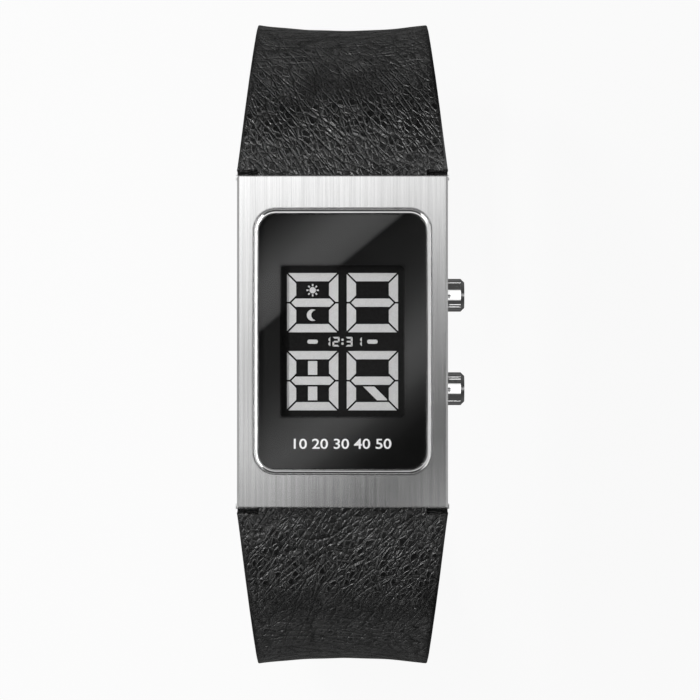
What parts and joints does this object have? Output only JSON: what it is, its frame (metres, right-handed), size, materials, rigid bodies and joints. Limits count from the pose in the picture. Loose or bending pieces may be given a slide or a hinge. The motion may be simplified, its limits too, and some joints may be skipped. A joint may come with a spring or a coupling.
{
  "type": "digital wristwatch",
  "caption": "Rectangular steel wristwatch with a segment display, side pushers that press and a leather strap with a pin buckle, unbuckled and standing in a loop.",
  "frame": {"origin": "centre of the case back's outer face", "axes": "+Z out of the dial, +Y to 12 o'clock, +X to 3 o'clock where the pushers are"},
  "size_m": [0.0261, 0.0762, 0.0626],
  "materials": {
    "brushed_front": "steel brushed along the length of the case",
    "brushed_case": "steel, finely brushed",
    "polished_steel": "mirror-polished steel",
    "screw_steel": "bright turned steel",
    "glass": "flat polished mineral glass",
    "black_mask": "gloss black print under the glass",
    "black_plastic": "moulded black plastic",
    "white_plastic": "moulded pale plastic",
    "display_dark": "dark display film",
    "display_glass": "thin display glass",
    "reflector": "satin silver film",
    "segment_grey": "light grey display bars",
    "black_rubber": "black rubber",
    "connector_rubber": "silicone rubber with a dark conducting core",
    "board": "green circuit board with copper tracks",
    "resin": "black resin",
    "spring_steel": "bright spring steel",
    "contact_brass": "gold-plated sprung strip",
    "cell_steel": "bright nickel-plated steel",
    "ceramic": "tan ceramic with tinned ends",
    "black_leather": "black pebbled leather with black painted edges",
    "strap_lining": "dark brown smooth leather"
  },
  "bodies": {
    "case": {"mid_case": "brushed_case", "case_back": "brushed_case", "case_back_gasket": "black_rubber", "case_back_screws": "screw_steel", "bezel": "brushed_front", "crystal_ring": "polished_steel", "crystal": "glass", "crystal_gasket": "black_rubber", "crystal_print": "black_mask", "dial_plate": "black_plastic", "lcd_polariser": "display_dark", "lcd_front_glass": "display_glass", "lcd_rear_glass": "display_glass", "lcd_reflector": "reflector", "lcd_segments": "segment_grey", "zebra_connectors": "connector_rubber", "lcd_holder": "white_plastic", "circuit_board": "board", "driver_chip": "resin", "quartz_can": "cell_steel", "capacitors": "ceramic", "switch_contacts": "contact_brass", "battery": "cell_steel", "battery_contact": "contact_brass", "battery_holder": "black_plastic", "battery_clip": "spring_steel", "module_screws": "screw_steel", "upper_pusher_tube": "screw_steel", "upper_pusher_spring": "spring_steel", "lower_pusher_tube": "screw_steel", "lower_pusher_spring": "spring_steel", "spring_bar_tube_12": "screw_steel", "spring_bar_spring_12": "spring_steel", "spring_bar_tube_6": "screw_steel", "spring_bar_spring_6": "spring_steel"},
    "upper_pusher": {"upper_pusher_cap": "polished_steel", "upper_pusher_seals": "black_rubber", "upper_pusher_clip": "spring_steel"},
    "lower_pusher": {"lower_pusher_cap": "polished_steel", "lower_pusher_seals": "black_rubber", "lower_pusher_clip": "spring_steel"},
    "bar_tip_12": {"spring_bar_tip_12": "screw_steel"},
    "bar_tip_6": {"spring_bar_tip_6": "screw_steel"},
    "short_strap": {"short_strap_outer": "black_leather", "short_strap_lining": "strap_lining", "fixed_keeper": "black_leather"},
    "long_strap": {"long_strap_outer": "black_leather", "long_strap_lining": "strap_lining"},
    "sliding_keeper": {"sliding_keeper": "black_leather"},
    "buckle": {"buckle_frame": "polished_steel", "buckle_bar": "screw_steel"},
    "tang": {"buckle_tang": "polished_steel"}
  },
  "joints": [
    {"name": "upper_pusher_press", "type": "slide", "parent": "case", "child": "upper_pusher", "axis": [-1, 0, 0], "range_m": [0, 0.0009], "stiffness_N_per_m": 400, "deforming": ["upper_pusher_spring"]},
    {"name": "lower_pusher_press", "type": "slide", "parent": "case", "child": "lower_pusher", "axis": [-1, 0, 0], "range_m": [0, 0.0009], "stiffness_N_per_m": 400, "deforming": ["lower_pusher_spring"]},
    {"name": "bar_tip_12_pull", "type": "slide", "parent": "case", "child": "bar_tip_12", "axis": [-1, 0, 0], "range_m": [0, 0.001], "stiffness_N_per_m": 400, "deforming": ["spring_bar_spring_12"]},
    {"name": "bar_tip_6_pull", "type": "slide", "parent": "case", "child": "bar_tip_6", "axis": [-1, 0, 0], "range_m": [0, 0.001], "stiffness_N_per_m": 400, "deforming": ["spring_bar_spring_6"]},
    {"name": "short_strap_swing", "type": "hinge", "parent": "case", "child": "short_strap", "pos_m": [0, 0.0176, 0.004], "axis": [1, 0, 0], "range_deg": [-40, 40]},
    {"name": "long_strap_swing", "type": "hinge", "parent": "case", "child": "long_strap", "pos_m": [0, -0.0176, 0.004], "axis": [-1, 0, 0], "range_deg": [-6, 40]},
    {"name": "keeper_slide", "type": "hinge", "parent": "short_strap", "child": "sliding_keeper", "pos_m": [0, 0.0171, -0.02202], "axis": [-1, 0, 0], "range_deg": [-11, 13]},
    {"name": "buckle_swing", "type": "hinge", "parent": "short_strap", "child": "buckle", "pos_m": [0, 0.01303, -0.04142], "axis": [1, 0, 0], "range_deg": [-60, 35]},
    {"name": "tang_swing", "type": "hinge", "parent": "buckle", "child": "tang", "pos_m": [0, 0.01303, -0.04142], "axis": [1, 0, 0], "range_deg": [0, 90]}
  ]
}
